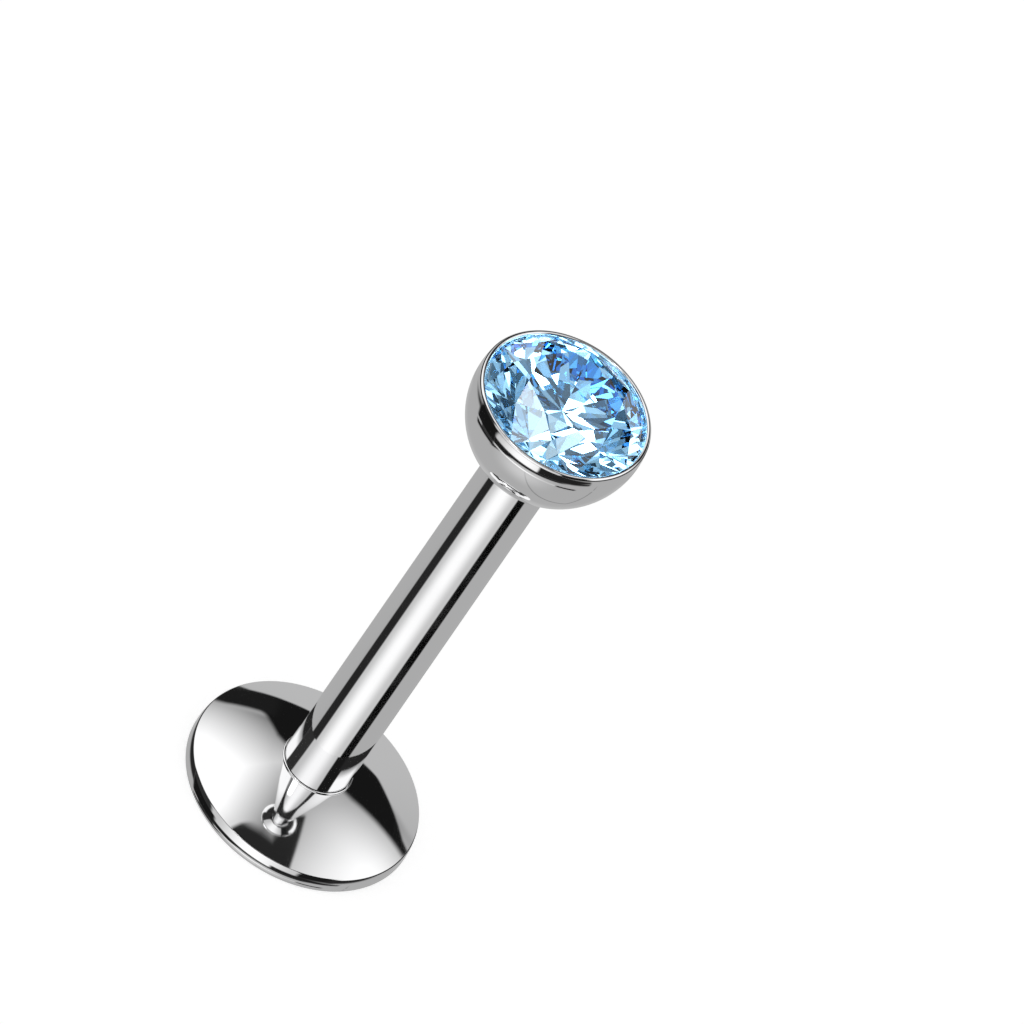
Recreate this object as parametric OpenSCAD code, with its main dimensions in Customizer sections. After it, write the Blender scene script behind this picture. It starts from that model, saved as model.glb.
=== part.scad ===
// Labret stud: a straight post on a flat-backed domed disc, with a round brilliant stone
// set in a cup on its other end. The stud stands on the flat back of its disc, with the
// origin at the middle of that face, the post along +Z and all lengths in millimetres.

/* [Disc] */
// Diameter of the disc
disc_d = 3.96; // [3:0.02:6]
// Thickness of the disc on its axis
disc_t = 0.83; // [0.75:0.01:1.2]
// Rounding radius of the back's edge
edge_r = 0.11; // [0.08:0.01:0.15]
// Height at which the disc's wall stands out most
bulge_z = 0.14; // [0.12:0.01:0.2]
// Radius of the wall's curve, seen in section
bulge_r = 0.95; // [0.6:0.05:1.2]
// Height of the centre of the upper edge's rounding
rim_z = 0.315; // [0.25:0.005:0.4]
// Rounding radius of the upper edge
rim_r = 0.045; // [0.03:0.005:0.08]
// Slope at which the upper edge's rounding takes over from the dome
edge_slope = 36; // [32:1:50]

/* [Post] */
// Diameter of the post
post_d = 1.16; // [1:0.02:1.4]
// Length of the post that shows between the disc and the cup
post_l = 8; // [5:0.5:14]
// How far the foot of the post stands in the disc
foot_l = 0.45; // [0.2:0.05:0.5]
// Width of the rounded seam on the disc round the foot of the post
seam_r = 0.025; // [0.02:0.005:0.05]

/* [Stone] */
// Diameter of the stone at its girdle
stone_d = 2.84; // [2.6:0.02:4]
// Share of the stone's diameter that the table takes, corner to corner
table_share = 0.57; // [0.5:0.01:0.65]
// Angle of the eight crown main facets
crown_angle = 36; // [30:0.5:38]
// Angle of the eight pavilion main facets
pavilion_angle = 40.75; // [38:0.25:42.5]
// Share of the crown's slope that the star facets take
star_share = 0.5; // [0.4:0.05:0.6]
// Share of the pavilion that the lower girdle facets take
lower_share = 0.77; // [0.65:0.01:0.85]
// Thickness of the girdle where the crown and the pavilion come nearest
girdle_thin = 0.024; // [0.01:0.002:0.06]
// Turn of the stone in its cup
stone_turn = 29; // [0:1:45]

/* [Cup] */
// Thickness of the cup's wall beside the girdle
cup_wall = 0.068; // [0.05:0.002:0.15]
// Height of the cup's wall above the centre of its ball
wall_h = 0.226; // [0.15:0.002:0.35]
// How far the lip reaches over the stone's edge
lip_over = 0.026; // [0.015:0.001:0.04]
// Gap between the stone and the cup
stone_gap = 0.012; // [0.01:0.001:0.02]
// Room under the stone's point
point_gap = 0.06; // [0.04:0.01:0.1]

/* [Stem] */
// Diameter of the cup's stem, which goes down into the post
stem_d = 0.8; // [0.6:0.02:0.86]
// Length of the stem below the cup
stem_l = 2.2; // [1.2:0.1:3]
// Room below the end of the stem
stem_end_gap = 0.2; // [0.1:0.05:0.5]
// How far the end of the post goes into the underside of the ball
shoulder_l = 0.06; // [0.04:0.01:0.1]
// Gap between the pieces where one stands in another
fit_gap = 0.01; // [0.01:0.005:0.03]

/* [Hidden] */

metal = "silver";
stone_blue = "deepskyblue";
$fn = 180; // facets of a circle in the preview
over = 1; // how far a cutting shape runs past what it cuts

// Disc: a wall that bulges a little runs from the back's round edge to the upper edge, and
// the dome's sphere from there to the disc's axis. Both roundings stand a hair proud of the
// wall's curve, so that each meets it along one clean line.
proud = 0.0003;
disc_r = disc_d / 2;
post_r = post_d / 2;
bulge_in_r = disc_r - bulge_r;
function rounding_r(z, r) = bulge_in_r + sqrt(pow(bulge_r - r + proud, 2) - pow(z - bulge_z, 2));
function touch_z(z, r) = bulge_z + (z - bulge_z) * bulge_r / (bulge_r - r);
flat_r = rounding_r(edge_r, edge_r);
rim_in_r = rounding_r(rim_z, rim_r);
wall_foot_z = touch_z(edge_r, edge_r);
wall_top_z = touch_z(rim_z, rim_r);
crease_r = rim_in_r + rim_r * sin(edge_slope);
crease_z = rim_z + rim_r * cos(edge_slope);
fill_r = rim_in_r + rim_r * sin(edge_slope - 5); // inside the rounding, just short of the crease
dome_h = disc_t - crease_z;
dome_r = (pow(crease_r, 2) + pow(dome_h, 2)) / (2 * dome_h);
dome_z = disc_t - dome_r;
socket_r = post_r + fit_gap;
function dome_height(r) = dome_z + sqrt(pow(dome_r, 2) - pow(r, 2));
foot_z = dome_height(post_r) - foot_l;

// Stone: heights are from the top of its girdle, which seats under the cup's lip.
STONE_MAINS = 8;
main_step = 360 / STONE_MAINS;
half_step = main_step / 2;
quarter_step = main_step / 4;
GIRDLE_STEPS = 4; // straight steps of the girdle along one girdle facet
girdle_r = stone_d / 2;
table_r = table_share * girdle_r;
table_z = (girdle_r - table_r) * tan(crown_angle);
table_mid_r = table_r * cos(half_step);
star_r = table_mid_r + star_share * (girdle_r - table_mid_r);
star_z = (girdle_r - star_r * cos(half_step)) * tan(crown_angle);
upper_slope = star_z / ((girdle_r - star_r) * cos(quarter_step));
lower_r = (1 - lower_share) * girdle_r;
lower_h = (girdle_r - lower_r * cos(half_step)) * tan(pavilion_angle);
lower_slope = lower_h / ((girdle_r - lower_r) * cos(quarter_step));
dip_r = girdle_r * (1 - cos(quarter_step)); // how far a girdle facet's middle stands out
girdle_t = girdle_thin + dip_r * (upper_slope + lower_slope);
point_z = -girdle_t - girdle_r * tan(pavilion_angle);

// Cup: a ball cut off above its middle. Its lip is a round bead that leans over the stone.
bore_r = girdle_r + stone_gap;
ball_r = bore_r + cup_wall;
lip_in_r = girdle_r - lip_over;
lip_out_r = sqrt(pow(ball_r, 2) - pow(wall_h, 2));
bead_r = (lip_out_r - lip_in_r) / 2;
bead_centre_r = lip_in_r + bead_r;
slope_in_r = lip_in_r + bead_r / 8; // the slope over the stone's edge ends inside the bead
under_lip_h = (bore_r - slope_in_r) * upper_slope;
girdle_z = wall_h - under_lip_h - stone_gap;

// Places along the post.
ball_depth = sqrt(pow(ball_r, 2) - pow(post_r, 2)); // from its centre to the post's end
post_foot_z = foot_z + fit_gap;
ball_z = dome_height(post_r) + post_l + ball_depth;
post_top_z = ball_z - ball_depth + shoulder_l;
stem_r = stem_d / 2;
stem_bore_r = stem_r + fit_gap;
stem_bore_l = stem_l + stem_end_gap;

// The disc's half section: a dome over a flat back, with a bulging wall between two roundings
module disc_section() {
    intersection() {
        translate([0, dome_z]) circle(r = dome_r);
        union() {
            square([flat_r, disc_t]);
            translate([flat_r, edge_r]) circle(r = edge_r);
            intersection() {
                translate([bulge_in_r, bulge_z]) circle(r = bulge_r);
                translate([0, wall_foot_z]) square([disc_r + over, wall_top_z - wall_foot_z]);
            }
            translate([0, edge_r]) square([fill_r, disc_t - edge_r]);
            translate([rim_in_r, rim_z]) circle(r = rim_r);
        }
    }
}

module disc() {
    color(metal) rotate_extrude() difference() {
        union() {
            disc_section();
            translate([socket_r, dome_height(socket_r)]) circle(r = seam_r);
        }
        translate([0, foot_z]) square([socket_r, disc_t + over]);
    }
}

module post() {
    color(metal) difference() {
        translate([0, 0, post_foot_z])
            cylinder(r = post_r, h = post_top_z - post_foot_z);
        translate([0, 0, post_top_z - stem_bore_l])
            cylinder(r = stem_bore_r, h = stem_bore_l + over);
    }
}

// The hollow for the stone: a cone under it, a bore beside its girdle and a slope under the lip
module stone_hollow_section() {
    cone_z = girdle_z + point_z - point_gap;
    slope_z = girdle_z + stone_gap;
    polygon([
        [0, cone_z],
        [bore_r, cone_z + bore_r * tan(pavilion_angle)],
        [bore_r, slope_z],
        [0, slope_z + bore_r * upper_slope]
    ]);
}

// The cup's half section, from the centre of its ball
module cup_section() {
    end_z = shoulder_l - ball_depth;
    difference() {
        union() {
            intersection() {
                circle(r = ball_r);
                translate([0, -ball_r]) square([ball_r, ball_r + wall_h]);
            }
            translate([bead_centre_r, wall_h]) circle(r = bead_r);
        }
        stone_hollow_section();
        translate([0, -ball_r]) square([socket_r, ball_r + end_z + fit_gap]);
    }
    translate([0, end_z - stem_l]) square([stem_r, stem_l + shoulder_l]);
}

module cup() {
    color(metal) translate([0, 0, ball_z]) rotate_extrude() cup_section();
}

// One corner of the stone, from its radius, its angle and its height
function corner(r, turn, z) = [r * cos(turn), r * sin(turn), z];

// A ring of corners, one for each main facet, the first at the angle given
function ring(r, turn, z) = [for (i = [0 : STONE_MAINS - 1]) corner(r, turn + i * main_step, z)];

// How far the girdle's edge dips in the middle of a girdle facet, at a step along it
function dip(step, slope) =
    let (off = half_step * (step % GIRDLE_STEPS) / GIRDLE_STEPS - quarter_step)
    girdle_r * (cos(off) - cos(quarter_step)) * slope;

girdle_n = 2 * STONE_MAINS * GIRDLE_STEPS;
girdle_top = [for (i = [0 : girdle_n - 1])
    corner(girdle_r, i * half_step / GIRDLE_STEPS, -dip(i, upper_slope))];
girdle_bottom = [for (i = [0 : girdle_n - 1])
    corner(girdle_r, i * half_step / GIRDLE_STEPS, -girdle_t + dip(i, lower_slope))];

stone_points = concat(
    ring(table_r, 0, table_z),
    ring(star_r, half_step, star_z),
    girdle_top,
    girdle_bottom,
    ring(lower_r, half_step, -girdle_t - lower_h),
    [[0, 0, point_z]]
);

// Where each ring starts in the list of corners
STAR = STONE_MAINS;
TOP = 2 * STONE_MAINS;
BOTTOM = TOP + girdle_n;
LOWER = BOTTOM + girdle_n;
POINT = LOWER + STONE_MAINS;
MAIN_STEPS = 2 * GIRDLE_STEPS; // steps of the girdle from one main facet to the next
function main_no(i) = (i + STONE_MAINS) % STONE_MAINS;
function step_no(i) = (i + girdle_n) % girdle_n;

stone_facets = concat(
    [[for (i = [STONE_MAINS - 1 : -1 : 0]) i]],
    [for (i = [0 : STONE_MAINS - 1]) [i, main_no(i + 1), STAR + i]],
    [for (i = [0 : STONE_MAINS - 1])
        [i, STAR + i, TOP + step_no(i * MAIN_STEPS), STAR + main_no(i - 1)]],
    [for (i = [0 : STONE_MAINS - 1]) concat([STAR + i],
        [for (k = [GIRDLE_STEPS : -1 : 0]) TOP + step_no(i * MAIN_STEPS + k)])],
    [for (i = [0 : STONE_MAINS - 1]) concat([STAR + i],
        [for (k = [MAIN_STEPS : -1 : GIRDLE_STEPS]) TOP + step_no(i * MAIN_STEPS + k)])],
    [for (i = [0 : girdle_n - 1]) [TOP + i, TOP + step_no(i + 1), BOTTOM + step_no(i + 1), BOTTOM + i]],
    [for (i = [0 : STONE_MAINS - 1]) concat([LOWER + i],
        [for (k = [0 : GIRDLE_STEPS]) BOTTOM + step_no(i * MAIN_STEPS + k)])],
    [for (i = [0 : STONE_MAINS - 1]) concat([LOWER + i],
        [for (k = [GIRDLE_STEPS : MAIN_STEPS]) BOTTOM + step_no(i * MAIN_STEPS + k)])],
    [for (i = [0 : STONE_MAINS - 1])
        [POINT, LOWER + main_no(i - 1), BOTTOM + step_no(i * MAIN_STEPS), LOWER + i]]
);

module stone() {
    color(stone_blue) translate([0, 0, ball_z + girdle_z]) rotate([0, 0, stone_turn])
        polyhedron(points = stone_points, faces = stone_facets);
}

disc();
post();
cup();
stone();
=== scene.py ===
import bpy
import math
from mathutils import Matrix, Vector


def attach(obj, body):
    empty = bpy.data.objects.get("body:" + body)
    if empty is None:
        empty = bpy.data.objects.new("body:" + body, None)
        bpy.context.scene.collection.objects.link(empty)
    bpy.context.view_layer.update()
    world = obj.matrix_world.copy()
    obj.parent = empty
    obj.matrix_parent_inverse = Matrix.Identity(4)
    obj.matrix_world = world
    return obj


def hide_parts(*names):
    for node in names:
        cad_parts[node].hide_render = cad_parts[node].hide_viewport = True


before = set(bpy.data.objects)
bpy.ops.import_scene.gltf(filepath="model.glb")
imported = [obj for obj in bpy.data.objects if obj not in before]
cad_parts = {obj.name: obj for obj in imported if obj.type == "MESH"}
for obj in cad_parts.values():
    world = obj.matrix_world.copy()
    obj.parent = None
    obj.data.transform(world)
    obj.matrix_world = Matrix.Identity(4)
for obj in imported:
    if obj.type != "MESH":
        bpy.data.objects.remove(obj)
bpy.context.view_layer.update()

MM = 0.001

# The stud's sizes in millimetres, as in the part's source.
DISC_R, DISC_T = 1.98, 0.83
EDGE_R, BULGE_Z, BULGE_R = 0.11, 0.14, 0.95
RIM_Z, RIM_R, EDGE_SLOPE = 0.315, 0.045, 36.0
POST_R, POST_L, FOOT_L, SEAM_R = 0.58, 8.0, 0.45, 0.025
GIRDLE_R, GIRDLE_THIN, STONE_TURN = 1.42, 0.024, 29.0
TABLE_SHARE, STAR_SHARE, LOWER_SHARE = 0.57, 0.5, 0.77
CROWN_ANGLE, PAVILION_ANGLE = 36.0, 40.75
CUP_WALL, WALL_H, LIP_OVER, STONE_GAP, POINT_GAP = 0.068, 0.226, 0.026, 0.012, 0.06
STEM_R, STEM_L, STEM_END_GAP, SHOULDER_L, FIT_GAP = 0.4, 2.2, 0.2, 0.06, 0.01

# How finely the round pieces are turned.
ROUND_STEPS = 256
ARC_STEP = 2.5  # degrees between the points of an arc
SHARP_ANGLE = 7.0  # an edge that bends more than this many degrees stays crisp
SEAM_MERGE = 1e-5  # millimetres within which the turned shell closes on itself

# The photograph's view: nearly parallel, from above the disc's plane, rolled so the post leans.
VIEW_ELEVATION, VIEW_ROLL = 44.24, 34.69
VIEW_WIDTH = 16.203
VIEW_AIM = (0.256, 0.0, 7.808)
VIEW_DISTANCE = 120.0
FLOOR_HALF = 400.0  # half the length of the floor's side

# The studio's even grey, as a tone where 1 is white.
EVEN_GREY = 0.43


class Wire:
    """A value inside a node tree; arithmetic on it adds Math nodes."""

    def __init__(self, board, socket):
        self.board, self.socket = board, socket

    def __add__(self, other):
        return self.board.math("ADD", self, other)

    def __sub__(self, other):
        return self.board.math("SUBTRACT", self, other)

    def __rsub__(self, other):
        return self.board.math("SUBTRACT", other, self)

    def __mul__(self, other):
        return self.board.math("MULTIPLY", self, other)

    def __truediv__(self, other):
        return self.board.math("DIVIDE", self, other)

    def __neg__(self):
        return self * -1.0

    __radd__, __rmul__ = __add__, __mul__


class Board:
    """A node tree that is filled from Python."""

    def __init__(self, tree):
        self.tree = tree

    def node(self, kind, settings=None, sockets=None):
        """Adds a node: its settings first, then the values or wires of its sockets."""
        made = self.tree.nodes.new(kind)
        for name, value in (settings or {}).items():
            setattr(made, name, value)
        for key, value in (sockets or {}).items():
            if isinstance(value, Wire):
                self.tree.links.new(value.socket, made.inputs[key])
            else:
                made.inputs[key].default_value = value
        return made

    def wire(self, kind, settings=None, sockets=None, out=0):
        return Wire(self, self.node(kind, settings, sockets).outputs[out])

    def math(self, operation, *values):
        return self.wire("ShaderNodeMath", {"operation": operation}, dict(enumerate(values)))

    def rise(self, value, start, end, low=0.0, high=1.0):
        """From low to high as value goes smoothly from start to end."""
        return self.wire(
            "ShaderNodeMapRange",
            {"interpolation_type": "SMOOTHSTEP"},
            {"Value": value, 1: start, 2: end, 3: low, 4: high},
        )


# Profiles: lists of (radius, height) in millimetres, from the axis round the outside and back.


def arc(centre, radius, start, end):
    """Points on an arc, from one angle to another in degrees."""
    steps = max(2, math.ceil(abs(end - start) / ARC_STEP))
    turns = [math.radians(start + (end - start) * i / steps) for i in range(steps + 1)]
    return [(centre[0] + radius * math.cos(t), centre[1] + radius * math.sin(t)) for t in turns]


def angle_of(centre, point):
    return math.degrees(math.atan2(point[1] - centre[1], point[0] - centre[0]))


def cosd(angle):
    return math.cos(math.radians(angle))


def sind(angle):
    return math.sin(math.radians(angle))


def tand(angle):
    return math.tan(math.radians(angle))


BULGE = (DISC_R - BULGE_R, BULGE_Z)


def rounding(height, radius):
    """The centre of a rounding that touches the wall's curve."""
    return BULGE[0] + math.sqrt((BULGE_R - radius) ** 2 - (height - BULGE_Z) ** 2), height


EDGE, RIM = rounding(EDGE_R, EDGE_R), rounding(RIM_Z, RIM_R)
CREASE = (RIM[0] + RIM_R * sind(EDGE_SLOPE), RIM[1] + RIM_R * cosd(EDGE_SLOPE))
DOME_H = DISC_T - CREASE[1]
DOME_R = (CREASE[0] ** 2 + DOME_H ** 2) / (2 * DOME_H)
DOME_Z = DISC_T - DOME_R
SOCKET_R = POST_R + FIT_GAP


def dome_height(radius):
    return DOME_Z + math.sqrt(DOME_R ** 2 - radius ** 2)


FOOT_Z = dome_height(POST_R) - FOOT_L

# The stone: heights from the top of its girdle.
MAINS = 8
HALF_STEP = 180.0 / MAINS
QUARTER_STEP = HALF_STEP / 2
GIRDLE_STEPS = 4
TABLE_R = TABLE_SHARE * GIRDLE_R
TABLE_Z = (GIRDLE_R - TABLE_R) * tand(CROWN_ANGLE)
TABLE_MID_R = TABLE_R * cosd(HALF_STEP)
STAR_R = TABLE_MID_R + STAR_SHARE * (GIRDLE_R - TABLE_MID_R)
STAR_Z = (GIRDLE_R - STAR_R * cosd(HALF_STEP)) * tand(CROWN_ANGLE)
UPPER_SLOPE = STAR_Z / ((GIRDLE_R - STAR_R) * cosd(QUARTER_STEP))
LOWER_R = (1 - LOWER_SHARE) * GIRDLE_R
LOWER_H = (GIRDLE_R - LOWER_R * cosd(HALF_STEP)) * tand(PAVILION_ANGLE)
LOWER_SLOPE = LOWER_H / ((GIRDLE_R - LOWER_R) * cosd(QUARTER_STEP))
GIRDLE_T = GIRDLE_THIN + GIRDLE_R * (1 - cosd(QUARTER_STEP)) * (UPPER_SLOPE + LOWER_SLOPE)
POINT_Z = -GIRDLE_T - GIRDLE_R * tand(PAVILION_ANGLE)

# The cup: heights from the centre of its ball.
BORE_R = GIRDLE_R + STONE_GAP
BALL_R = BORE_R + CUP_WALL
LIP_IN_R = GIRDLE_R - LIP_OVER
LIP_OUT_R = math.sqrt(BALL_R ** 2 - WALL_H ** 2)
BEAD_R = (LIP_OUT_R - LIP_IN_R) / 2
BEAD = (LIP_IN_R + BEAD_R, WALL_H)
# The slope over the stone's edge is as high as the bead's centre a little outside the lip's edge.
SLOPE_IN_R = LIP_IN_R + BEAD_R / 8
GIRDLE_Z = WALL_H - (BORE_R - SLOPE_IN_R) * UPPER_SLOPE - STONE_GAP
BALL_DEPTH = math.sqrt(BALL_R ** 2 - POST_R ** 2)
BALL_Z = dome_height(POST_R) + POST_L + BALL_DEPTH
POST_TOP_Z = BALL_Z - BALL_DEPTH + SHOULDER_L


def disc_profile():
    """Flat back, bulging wall, low dome, the seam's bead and the post's socket."""
    dome = (0.0, DOME_Z)
    seam = (SOCKET_R, dome_height(SOCKET_R))
    wall_foot, wall_top = angle_of(BULGE, EDGE), angle_of(BULGE, RIM)
    meet_r = SOCKET_R + SEAM_R * cosd(math.degrees(SOCKET_R / DOME_R))
    meet = (meet_r, dome_height(meet_r))
    return [
        (0.0, 0.0),
        *arc(EDGE, EDGE_R, -90, wall_foot),
        *arc(BULGE, BULGE_R, wall_foot, wall_top)[1:],
        *arc(RIM, RIM_R, wall_top, 90 - EDGE_SLOPE)[1:],
        *arc(dome, DOME_R, angle_of(dome, CREASE), angle_of(dome, meet))[1:],
        *arc(seam, SEAM_R, angle_of(seam, meet), 90)[1:],
        (SOCKET_R, FOOT_Z),
        (0.0, FOOT_Z),
    ]


def post_profile():
    """A straight bar with a plain bore in its upper end."""
    bore_r = STEM_R + FIT_GAP
    bore_z = POST_TOP_Z - STEM_L - STEM_END_GAP
    foot_z = FOOT_Z + FIT_GAP
    return [
        (0.0, foot_z),
        (POST_R, foot_z),
        (POST_R, POST_TOP_Z),
        (bore_r, POST_TOP_Z),
        (bore_r, bore_z),
        (0.0, bore_z),
    ]


def cup_profile():
    """The stem, the underside's seat, the ball, the lip's bead and the hollow for the stone."""
    seat_z = SHOULDER_L - BALL_DEPTH + FIT_GAP
    stem_z = SHOULDER_L - BALL_DEPTH - STEM_L
    ball = (0.0, 0.0)
    start = (SOCKET_R, -math.sqrt(BALL_R ** 2 - SOCKET_R ** 2))
    cone_z = GIRDLE_Z + POINT_Z - POINT_GAP
    # Where the slope over the stone's edge comes out of the bead.
    a, b = 1 + UPPER_SLOPE ** 2, BEAD[0] - SLOPE_IN_R
    in_step = (-b + math.sqrt(b * b - a * (b * b - BEAD_R ** 2))) / a
    inner = (SLOPE_IN_R - in_step, WALL_H + in_step * UPPER_SLOPE)
    profile = [
        (0.0, stem_z),
        (STEM_R, stem_z),
        (STEM_R, seat_z),
        (SOCKET_R, seat_z),
        *arc(ball, BALL_R, angle_of(ball, start), angle_of(ball, (LIP_OUT_R, WALL_H))),
        *arc(BEAD, BEAD_R, 0, angle_of(BEAD, inner))[1:],
        (BORE_R, GIRDLE_Z + STONE_GAP),
        (BORE_R, cone_z + BORE_R * tand(PAVILION_ANGLE)),
        (0.0, cone_z),
    ]
    return [(r, z + BALL_Z) for r, z in profile]


def mesh_object(name, points, faces=()):
    """An object whose points are given in millimetres."""
    mesh = bpy.data.meshes.new(name)
    mesh.from_pydata([Vector(p) * MM for p in points], [], faces)
    made = bpy.data.objects.new(name, mesh)
    bpy.context.scene.collection.objects.link(made)
    return made


# Geometry Nodes: one tree turns a profile into a round shell, one repeats a stone's sector.


def new_tree(name, numbers):
    """A geometry tree with a material input and named number inputs."""
    tree = bpy.data.node_groups.new(name, "GeometryNodeTree")
    face = tree.interface
    face.new_socket("Geometry", in_out="INPUT", socket_type="NodeSocketGeometry")
    for label, kind in numbers.items():
        face.new_socket(label, in_out="INPUT", socket_type=kind)
    face.new_socket("Material", in_out="INPUT", socket_type="NodeSocketMaterial")
    face.new_socket("Geometry", in_out="OUTPUT", socket_type="NodeSocketGeometry")
    board = Board(tree)
    source = board.node("NodeGroupInput")
    return board, {s.name: Wire(board, s) for s in source.outputs if s.name}


def merged(board, shape, inputs):
    """Joins the points of a shape that lie within the tree's merge distance."""
    return board.wire("GeometryNodeMergeByDistance", None, {
        "Geometry": shape, "Distance": inputs["Merge Distance"],
    })


def finish_tree(board, shell, material):
    """Ends a tree the way every piece here ends: realized, with its material."""
    solid = board.wire("GeometryNodeRealizeInstances", None, {"Geometry": shell})
    done = board.wire("GeometryNodeSetMaterial", None, {"Geometry": solid, "Material": material})
    board.node("NodeGroupOutput", None, {"Geometry": done})
    return board.tree


def turning_tree():
    """Turns a profile of points, X out from the axis and Z up it, into a closed round shell."""
    board, inputs = new_tree("turning", {
        "Points": "NodeSocketInt", "Round Steps": "NodeSocketInt",
        "Merge Distance": "NodeSocketFloat", "Sharp Angle": "NodeSocketFloat",
    })
    points = inputs["Points"]
    grid = board.wire("GeometryNodeMeshGrid", None, {
        "Vertices X": inputs["Round Steps"] + 1.0, "Vertices Y": points,
    })
    index = board.wire("GeometryNodeInputIndex")
    place = board.wire("GeometryNodeInputPosition")
    along = board.math("MODULO", index, points)
    turn = board.math("FLOOR", index / points) / inputs["Round Steps"] * math.tau
    sampled = board.wire(
        "GeometryNodeSampleIndex", {"data_type": "FLOAT_VECTOR", "domain": "POINT"},
        {"Geometry": inputs["Geometry"], "Value": place, "Index": along},
    )
    split = board.node("ShaderNodeSeparateXYZ", None, {0: sampled})
    out, up = Wire(board, split.outputs["X"]), Wire(board, split.outputs["Z"])
    spun = board.wire("ShaderNodeCombineXYZ", None, {
        "X": out * board.math("COSINE", turn), "Y": out * board.math("SINE", turn), "Z": up,
    })
    shell = board.wire("GeometryNodeSetPosition", None, {"Geometry": grid, "Position": spun})
    shell = merged(board, shell, inputs)
    bend = board.wire("GeometryNodeInputMeshEdgeAngle")
    crisp = board.math("GREATER_THAN", bend, inputs["Sharp Angle"])
    shell = board.wire(
        "GeometryNodeSetShadeSmooth", {"domain": "FACE"}, {0: shell, "Shade Smooth": True},
    )
    shell = board.wire(
        "GeometryNodeSetShadeSmooth", {"domain": "EDGE"},
        {0: shell, 1: crisp, "Shade Smooth": False},
    )
    return finish_tree(board, shell, inputs["Material"])


def sector_tree():
    """Repeats one sector of a cut stone evenly about the axis."""
    board, inputs = new_tree("stone sectors", {
        "Sectors": "NodeSocketInt", "Turn": "NodeSocketFloat", "Merge Distance": "NodeSocketFloat",
    })
    spots = board.wire("GeometryNodePoints", None, {"Count": inputs["Sectors"]})
    index = board.wire("GeometryNodeInputIndex")
    turn = inputs["Turn"] + index / inputs["Sectors"] * math.tau
    spin = board.wire("ShaderNodeCombineXYZ", None, {"Z": turn})
    sectors = board.wire("GeometryNodeInstanceOnPoints", None, {
        "Points": spots, "Instance": inputs["Geometry"], "Rotation": spin,
    })
    solid = board.wire("GeometryNodeRealizeInstances", None, {"Geometry": sectors})
    solid = merged(board, solid, inputs)
    return finish_tree(board, solid, inputs["Material"])


def grow(piece, tree, values):
    """Runs a tree on a piece, with its inputs by name, and keeps the plain mesh that it makes."""
    modifier = piece.modifiers.new("grow", "NODES")
    modifier.node_group = tree
    names = {s.name: s.identifier for s in tree.interface.items_tree if s.in_out == "INPUT"}
    for name, value in values.items():
        modifier[names[name]] = value
    seen = piece.evaluated_get(bpy.context.evaluated_depsgraph_get())
    mesh = bpy.data.meshes.new_from_object(seen)
    mesh.name = piece.name
    piece.modifiers.remove(modifier)
    piece.data = mesh
    return piece


def turned(name, profile, tree, material):
    """A round piece turned from its profile."""
    piece = mesh_object(name, [(r, 0.0, z) for r, z in profile])
    return grow(piece, tree, {
        "Points": len(profile), "Round Steps": ROUND_STEPS, "Merge Distance": SEAM_MERGE * MM,
        "Sharp Angle": math.radians(SHARP_ANGLE), "Material": material,
    })


def stone_sector():
    """One eighth of the brilliant, from one kite facet's middle to the next."""
    def at(radius, turn, height):
        return (radius * cosd(turn), radius * sind(turn), height + GIRDLE_Z + BALL_Z)

    def dip(k, slope):
        off = HALF_STEP * (k % GIRDLE_STEPS) / GIRDLE_STEPS - QUARTER_STEP
        return GIRDLE_R * (cosd(off) - cosd(QUARTER_STEP)) * slope

    steps = range(2 * GIRDLE_STEPS + 1)
    turns = [k * HALF_STEP / GIRDLE_STEPS for k in steps]
    points = [
        at(0, 0, TABLE_Z),
        at(TABLE_R, 0, TABLE_Z),
        at(TABLE_R, 2 * HALF_STEP, TABLE_Z),
        at(STAR_R, HALF_STEP, STAR_Z),
        at(LOWER_R, HALF_STEP, -GIRDLE_T - LOWER_H),
        at(0, 0, POINT_Z),
        *[at(GIRDLE_R, turns[k], -dip(k, UPPER_SLOPE)) for k in steps],
        *[at(GIRDLE_R, turns[k], dip(k, LOWER_SLOPE) - GIRDLE_T) for k in steps],
    ]
    middle, table_a, table_b, star, lower, point = range(6)
    top = [point + 1 + k for k in steps]
    bottom = [top[-1] + 1 + k for k in steps]
    half = GIRDLE_STEPS
    faces = [
        (middle, table_a, table_b), (table_a, star, table_b),
        (table_a, top[0], star), (table_b, star, top[-1]),
        (star, *top[:half + 1]), (star, *top[half:]),
        *[(bottom[k], bottom[k + 1], top[k + 1], top[k]) for k in steps[:-1]],
        (lower, *reversed(bottom[:half + 1])), (lower, *reversed(bottom[half:])),
        (point, lower, bottom[0]), (point, bottom[-1], lower),
    ]
    return points, faces


# Materials.
WHITE = (1.0, 1.0, 1.0, 1.0)


def new_material(name):
    material = bpy.data.materials.new(name)
    material.use_nodes = True
    board = Board(material.node_tree)
    board.tree.nodes.clear()
    return material, board


def object_place(board):
    return Wire(board, board.node("ShaderNodeTexCoord").outputs["Object"])


def polished_steel(name):
    """Mirror-polished steel with faint haze and buffing lines."""
    material, board = new_material(name)
    place = object_place(board)
    haze = board.wire("ShaderNodeTexNoise", None, {
        "Vector": place, "Scale": 900.0, "Detail": 3.0, "Roughness": 0.55,
    })
    fine = board.wire("ShaderNodeTexNoise", None, {
        "Vector": place, "Scale": 9000.0, "Detail": 2.0,
    })
    rough = board.rise(haze, 0.35, 0.7, low=0.03, high=0.055)
    bump = board.wire("ShaderNodeBump", None, {
        "Strength": 0.004, "Distance": 0.01 * MM, "Height": fine,
    })
    shader = board.wire("ShaderNodeBsdfPrincipled", None, {
        "Base Color": (0.93, 0.93, 0.935, 1.0), "Metallic": 1.0,
        "Roughness": rough, "Normal": bump,
    })
    board.node("ShaderNodeOutputMaterial", None, {"Surface": shader})
    return material


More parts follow.
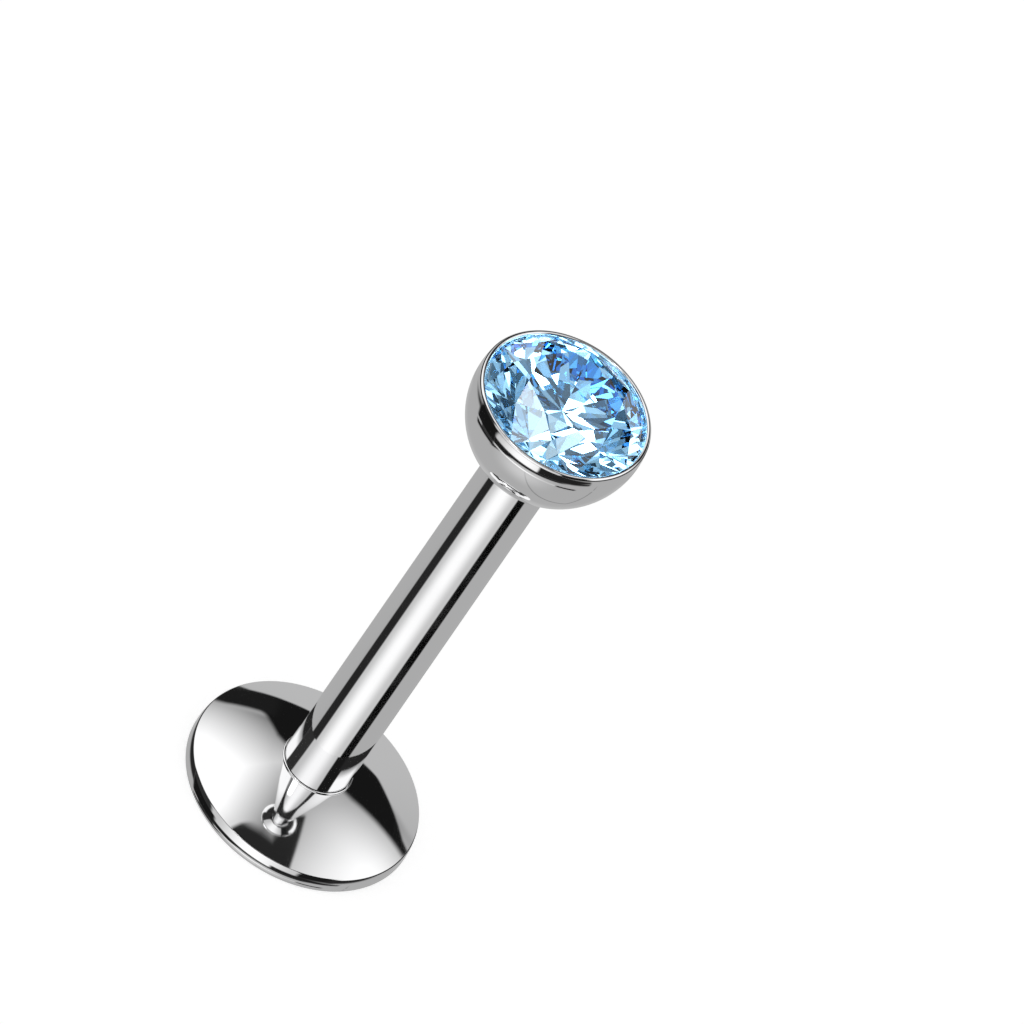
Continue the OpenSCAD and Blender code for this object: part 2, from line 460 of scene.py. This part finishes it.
def blue_stone(name):
    """Clear light blue cut stone, whose colour deepens along the path of the light."""
    material, board = new_material(name)
    shader = board.wire("ShaderNodeBsdfPrincipled", None, {
        "Base Color": WHITE, "Roughness": 0.0, "IOR": 2.42, "Transmission Weight": 1.0,
    })
    depth = board.wire("ShaderNodeVolumeAbsorption", None, {
        "Color": (0.0, 0.62, 0.95, 1.0), "Density": 290.0,
    })
    board.node("ShaderNodeOutputMaterial", None, {"Surface": shader, "Volume": depth})
    return material


def pale_floor(name):
    """Matt near-white table top that glows a little, as one lit from below."""
    material, board = new_material(name)
    place = object_place(board)
    grain = board.wire("ShaderNodeTexNoise", None, {
        "Vector": place, "Scale": 400.0, "Detail": 2.0,
    })
    shade = board.rise(grain, 0.3, 0.7, low=0.78, high=0.8)
    colour = board.wire("ShaderNodeCombineColor", None, {0: shade, 1: shade, 2: shade})
    shader = board.wire("ShaderNodeBsdfPrincipled", None, {
        "Base Color": colour, "Roughness": 0.9, "Specular IOR Level": 0.2,
        "Emission Color": WHITE, "Emission Strength": 0.68,
    })
    board.node("ShaderNodeOutputMaterial", None, {"Surface": shader})
    return material


# The studio: a world of soft white walls, grey sides and dark cards, laid out by direction.


class Studio:
    """Where a ray looks, in degrees, and the tone that it meets there."""

    def __init__(self, board):
        self.board = board
        facing = Wire(board, board.node("ShaderNodeTexCoord").outputs["Generated"])
        split = board.node("ShaderNodeSeparateXYZ", None, {0: facing})
        x, y, z = (Wire(board, s) for s in split.outputs)
        degrees = 180.0 / math.pi
        # The side is 0 towards the viewer and positive to the right.
        self.side = board.math("ARCTAN2", x, -y) * degrees
        self.height = board.math("ARCSINE", z) * degrees
        # Flat charts of the sky and of the ground, in degrees from straight up or straight down.
        level = board.math("SQRT", board.math("MAXIMUM", x * x + y * y, 1e-9))
        from_top = 90.0 - self.height
        self.right, self.away = from_top * x / level, from_top * y / level
        from_below = 90.0 + self.height
        self.low_right, self.low_away = from_below * x / level, from_below * y / level
        self.tone = None

    def rise(self, value, middle, soft):
        """From 0 to 1 across a soft edge; a negative softness goes the other way."""
        return self.board.rise(value, middle - soft, middle + soft)

    def band(self, value, low, high, soft):
        return self.rise(value, low, soft) * self.rise(value, high, -soft)

    def patch(self, side, height):
        """A mask between two sides and two heights, each given as (from, to, softness)."""
        return self.band(self.side, *side) * self.band(self.height, *height)

    def lay(self, mask, tone):
        """Lays a tone over what is there, as far as the mask goes."""
        self.tone = self.tone + mask * (tone - self.tone)

    def card(self, tone, side, height):
        """Lays an upright card of one tone."""
        self.lay(self.patch(side, height), tone)


def walls(studio):
    """Grey all round, lighter low in front and low behind; bright upper walls left and right."""
    board, side, height = studio.board, studio.side, studio.height
    right, away = studio.right, studio.away
    turn = board.math("ABSOLUTE", side)
    glow = board.rise(turn, 55.0, 0.0) * studio.band(height, -60.0, -38.0, 14.0) * 0.22
    behind = board.rise(turn, 130.0, 170.0) * 0.08
    studio.tone = glow + behind + EVEN_GREY
    near, far = 0.1 - right * 0.045, 1.33 - (away + right * 0.67) * 0.027
    left_wall = board.math("MINIMUM", 1.08, board.math("MINIMUM", near, far))
    right_wall = (right * 0.0225 + 0.3) * board.rise(away, 18.0, 60.0, low=1.0, high=0.3)
    sky = board.math("MAXIMUM", left_wall, board.math("MINIMUM", 1.1, right_wall))
    studio.lay(studio.rise(height, 16.0, 5.0) * studio.rise(away, 58.0, -3.0), sky)


def front_light(studio):
    """The tall softbox in front, brightest at its middle."""
    middle = studio.board.math("ABSOLUTE", studio.side + 4.0)
    return studio.board.rise(middle, 42.0, 4.0, low=0.6, high=1.08)


def front_cards(studio):
    """The front softbox with a dark card on each side, from low in front to high overhead."""
    box = front_light(studio)
    studio.card(tone=box, side=(-54.0, 39.0, 3.0), height=(-36.0, 42.0, 1.0))
    studio.card(tone=0.03, side=(-90.0, -53.0, 3.0), height=(-32.0, 42.0, 3.0))
    studio.card(tone=0.01, side=(39.0, 74.0, 2.5), height=(-32.0, 42.0, 3.0))
    studio.card(tone=0.02, side=(-150.0, -88.0, 4.0), height=(-37.5, 10.0, 2.0))
    studio.card(tone=0.02, side=(66.0, 150.0, 4.0), height=(-32.0, 10.0, 2.0))
    studio.card(tone=0.015, side=(-88.0, 88.0, 3.0), height=(42.0, 57.0, 1.0))
    high = (58.5, 77.0, 1.0)
    studio.card(tone=box, side=(-46.0, 45.0, 3.0), height=high)
    studio.card(tone=4.0, side=(-58.0, -24.0, 3.0), height=(57.5, 68.0, 1.5))
    studio.card(tone=0.2, side=(-62.0, -46.0, 4.0), height=high)
    studio.card(tone=0.03, side=(45.5, 61.0, 3.0), height=high)


def low_cards(studio):
    """Dark cards left and right under the horizon, and a dark ribbon, for the ball and the lip."""
    board, side, height = studio.board, studio.side, studio.height
    studio.card(tone=0.008, side=(-90.0, -47.0, 3.0), height=(-48.5, -30.0, 1.0))
    top = board.math("MINIMUM", 0.0, (46.0 - side) * 0.14) - 30.0
    right_card = studio.rise(height, -37.0, 1.2) * studio.rise(height - top, 0.0, -1.2)
    studio.lay(right_card * studio.band(side, 16.0, 82.0, 2.0), 0.015)
    ribbon = board.math("MINIMUM", side * 0.03 - 39.9, side * 0.26 - 36.3)
    under = studio.rise(height - ribbon, 0.0, 0.8) * studio.rise(height, -36.3, -0.9)
    studio.lay(under * studio.band(side, -52.0, 52.0, 6.0), 0.012)


def sheet_edge(studio):
    """The thin shadowed edge of a sheet that lies low at the right."""
    lean = math.radians(19.0)
    across = studio.low_right * math.cos(lean) - studio.low_away * math.sin(lean)
    along = studio.low_right * math.sin(lean) + studio.low_away * math.cos(lean)
    edge = studio.board.math("MAXIMUM", 17.8 - across, along - 19.7)
    line = studio.rise(studio.board.math("ABSOLUTE", edge), 0.55, -0.35)
    strength = studio.board.rise(along, -50.0, 5.0, 0.15, 0.75)
    studio.lay(line * strength * studio.rise(studio.height, -40.0, -4.0), 0.15)


def level_slot(studio):
    """The narrow stretch that the post mirrors: softbox, dark cards beside it, grey beyond."""
    side = studio.side
    slot = studio.band(studio.height, -45.2, -43.3, 0.35)
    studio.lay(slot, EVEN_GREY)
    studio.lay(slot * studio.band(side, -48.3, 46.0, 2.2), front_light(studio))
    studio.lay(slot * studio.band(side, -76.5, -48.3, 3.0), 0.018)
    studio.lay(slot * studio.band(side, 46.5, 72.0, 2.5), 0.002)


def back_cards(studio):
    """Dark cards high at the back, and the dark wedge overhead."""
    right, away = studio.right, studio.away
    left = studio.rise(away, 43.5, 1.2) * studio.rise(right - (61.0 - away) * 0.62, -24.5, 1.5)
    studio.lay(left * studio.rise(away, 74.5, -0.8) * studio.rise(right, 2.0, -2.0), 0.008)
    studio.lay(studio.band(right, -39.0, -20.0, 2.0) * studio.band(away, 59.5, 74.0, 1.8), 0.012)
    top = studio.rise(away, 64.5, -0.8) * studio.rise(away + right * 0.6, 75.0, -1.0)
    near = studio.rise(away - right * 0.2, 38.0, 2.2) * studio.band(right, 2.0, 42.0, 2.0)
    studio.lay(near * top, 0.008)
    near_side, right_side = studio.rise(away, -1.0, -3.0), studio.rise(right, 1.5, 2.5)
    shade = studio.board.math("MAXIMUM", right_side, near_side)
    wedge = studio.rise(right + away * 0.311, 12.8, -0.8) * studio.rise(away, 19.5, -1.5) * shade
    wedge = wedge * studio.rise(right - away * 0.94, -9.5, 1.5) * studio.rise(away, -13.0, 1.0)
    studio.lay(wedge, 0.02)


# The broad sheets that light the stone, in degrees, and their tones.
STONE_SHEETS = (
    # from left, to right, from below, to above, tone
    (-60.0, 12.0, 38.0, 50.0, 1.7),  # front
    (-60.0, 5.0, 8.0, 30.0, 2.6),  # front, low
    (20.0, 50.0, 28.0, 47.0, 2.6),  # front right
    (60.0, 110.0, 10.0, 60.0, 0.42),  # right, dim
    (-100.0, -60.0, 8.0, 47.0, 0.18),  # left, dark
    (-135.0, -78.0, 50.0, 72.0, 2.2),  # left, high
    (-180.0, -100.0, 28.0, 50.0, 1.7),  # back left
    (112.0, 180.0, 12.0, 50.0, 1.8),  # back right
    (-78.0, -12.0, 52.0, 72.0, 5.4),  # front left, high: the brightest
    (-180.0, -85.0, -50.0, -25.0, 2.6),  # back left, under the horizon
    (140.0, 180.0, -50.0, -25.0, 0.12),  # back right, under the horizon: dark
    (100.0, 135.0, -62.0, -5.0, 0.3),  # right, under the horizon: dim
    (-12.0, 40.0, 50.0, 62.0, 0.6),  # front, high: dim
)
STONE_GAIN, STONE_LIFT = 2.2, 0.15  # how the stone's light is raised over the steel's cards
STONE_FILL = 1.6  # a plain sheet at the front right


def gathered(studio, steel):
    """The light that the cut stone gathers: the steel's cards, with broad sheets of its own."""
    under, over = 0.84, 0.54  # tones under and over the horizon, where no sheet hangs
    studio.tone = studio.rise(studio.height, 0.0, 6.0) * (over - under) + under
    for left, right, low, high, tone in STONE_SHEETS:
        studio.card(tone, side=(left, right, 2.0), height=(low, high, 1.5))
    fill = studio.patch(side=(42.0, 62.0, 2.0), height=(14.0, 40.0, 1.5))
    return (steel * STONE_GAIN + STONE_LIFT) * studio.tone + fill * STONE_FILL


def mirrored(studio):
    """What the stone's outer facets mirror: dark, with a few pale sheets."""
    studio.tone = 0.02
    left = studio.board.rise(studio.side, -100.0, -60.0, low=2.9, high=1.5)
    studio.card(tone=left, side=(-130.0, -25.0, 3.0), height=(56.0, 68.0, 2.0))
    studio.card(tone=0.95, side=(-158.0, -146.0, 1.5), height=(-4.0, 12.0, 2.0))
    studio.card(tone=0.33, side=(-150.0, -134.0, 2.0), height=(27.0, 38.0, 2.0))
    behind = studio.rise(studio.board.math("ABSOLUTE", studio.side), 165.0, 3.0)
    studio.lay(behind * studio.band(studio.height, 39.0, 49.0, 2.0), 0.33)
    studio.card(tone=0.42, side=(55.0, 135.0, 3.0), height=(49.5, 59.0, 2.0))
    studio.card(tone=0.65, side=(122.0, 162.0, 3.0), height=(-12.0, 12.0, 2.0))
    return studio.tone


def studio_world():
    world = bpy.data.worlds.new("studio")
    world.use_nodes = True
    board = Board(world.node_tree)
    board.tree.nodes.clear()
    studio = Studio(board)
    for part in (walls, front_cards, low_cards, sheet_edge, level_slot, back_cards):
        part(studio)
    rays = board.node("ShaderNodeLightPath").outputs
    kinds = ("Camera", "Diffuse", "Singular", "Transmission")
    seen, soft, sharp, through = (Wire(board, rays[f"Is {kind} Ray"]) for kind in kinds)

    def glow(tone):
        return board.wire("ShaderNodeBackground", None, {"Color": WHITE, "Strength": tone})

    def either(choice, one, other):
        return board.wire("ShaderNodeMixShader", None, {0: choice, 1: other, 2: one})

    steel = studio.tone
    # The stone alone is perfectly sharp, so its rays are told from the steel's.
    stone = either(through, glow(gathered(studio, steel)), glow(mirrored(studio)))
    # What the camera sees past the floor is white, and the matt floor is lit by an even grey.
    plain = glow(seen * (1.0 - EVEN_GREY) + EVEN_GREY)
    light = either(board.math("MAXIMUM", seen, soft), plain, either(sharp, stone, glow(steel)))
    board.node("ShaderNodeOutputWorld", None, {"Surface": light})
    world.cycles.sampling_method = "NONE"  # mirrors find the cards by themselves
    bpy.context.scene.world = world


def floor():
    half = FLOOR_HALF
    corners = [(-half, -half, 0), (half, -half, 0), (half, half, 0), (-half, half, 0)]
    made = mesh_object("floor", corners, [(0, 1, 2, 3)])
    made.data.materials.append(pale_floor("pale table top"))
    made.visible_glossy = False


def camera():
    """The photograph's camera: parallel, above the disc, rolled so that the post leans right."""
    data = bpy.data.cameras.new("camera")
    data.type = "ORTHO"
    data.ortho_scale = VIEW_WIDTH * MM
    data.clip_start, data.clip_end = 0.001, 5.0
    made = bpy.data.objects.new("camera", data)
    bpy.context.scene.collection.objects.link(made)
    right = Vector((1.0, 0.0, 0.0))
    up = Vector((0.0, sind(VIEW_ELEVATION), cosd(VIEW_ELEVATION)))
    back = Vector((0.0, -cosd(VIEW_ELEVATION), sind(VIEW_ELEVATION)))
    rolled_right = right * cosd(VIEW_ROLL) + up * sind(VIEW_ROLL)
    rolled_up = up * cosd(VIEW_ROLL) - right * sind(VIEW_ROLL)
    spot = (Vector(VIEW_AIM) + back * VIEW_DISTANCE) * MM
    turned_to = Matrix((rolled_right, rolled_up, back)).transposed().to_4x4()
    made.matrix_world = Matrix.Translation(spot) @ turned_to
    bpy.context.scene.camera = made


def stud():
    """The four pieces, each standing for its node."""
    turning = turning_tree()
    steel = polished_steel("polished steel")
    pieces = {
        "disc": turned("turned_disc", disc_profile(), turning, steel),
        "post": turned("straight_post", post_profile(), turning, steel),
        "cup": turned("ball_cup", cup_profile(), turning, steel),
    }
    stone = mesh_object("brilliant_stone", *stone_sector())
    pieces["stone"] = grow(stone, sector_tree(), {
        "Sectors": MAINS, "Turn": math.radians(STONE_TURN),
        "Merge Distance": SEAM_MERGE * MM, "Material": blue_stone("light blue stone"),
    })
    for node, piece in pieces.items():
        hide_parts(node)
        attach(piece, "root")
        "blue_stone" if node == "stone" else "polished_steel"
        piece.visible_transmission = node == "stone"  # the stone draws its light past its cup


def picture_settings():
    """Enough bounces for the light inside the stone, and tones shown as they are.

    Light that turns more often than that inside the stone stays dark.
    """
    cycles = bpy.context.scene.cycles
    cycles.max_bounces = 36
    cycles.glossy_bounces = 12
    cycles.transmission_bounces = 36
    bpy.context.scene.view_settings.view_transform = "Standard"


stud()
floor()
studio_world()
camera()
picture_settings()
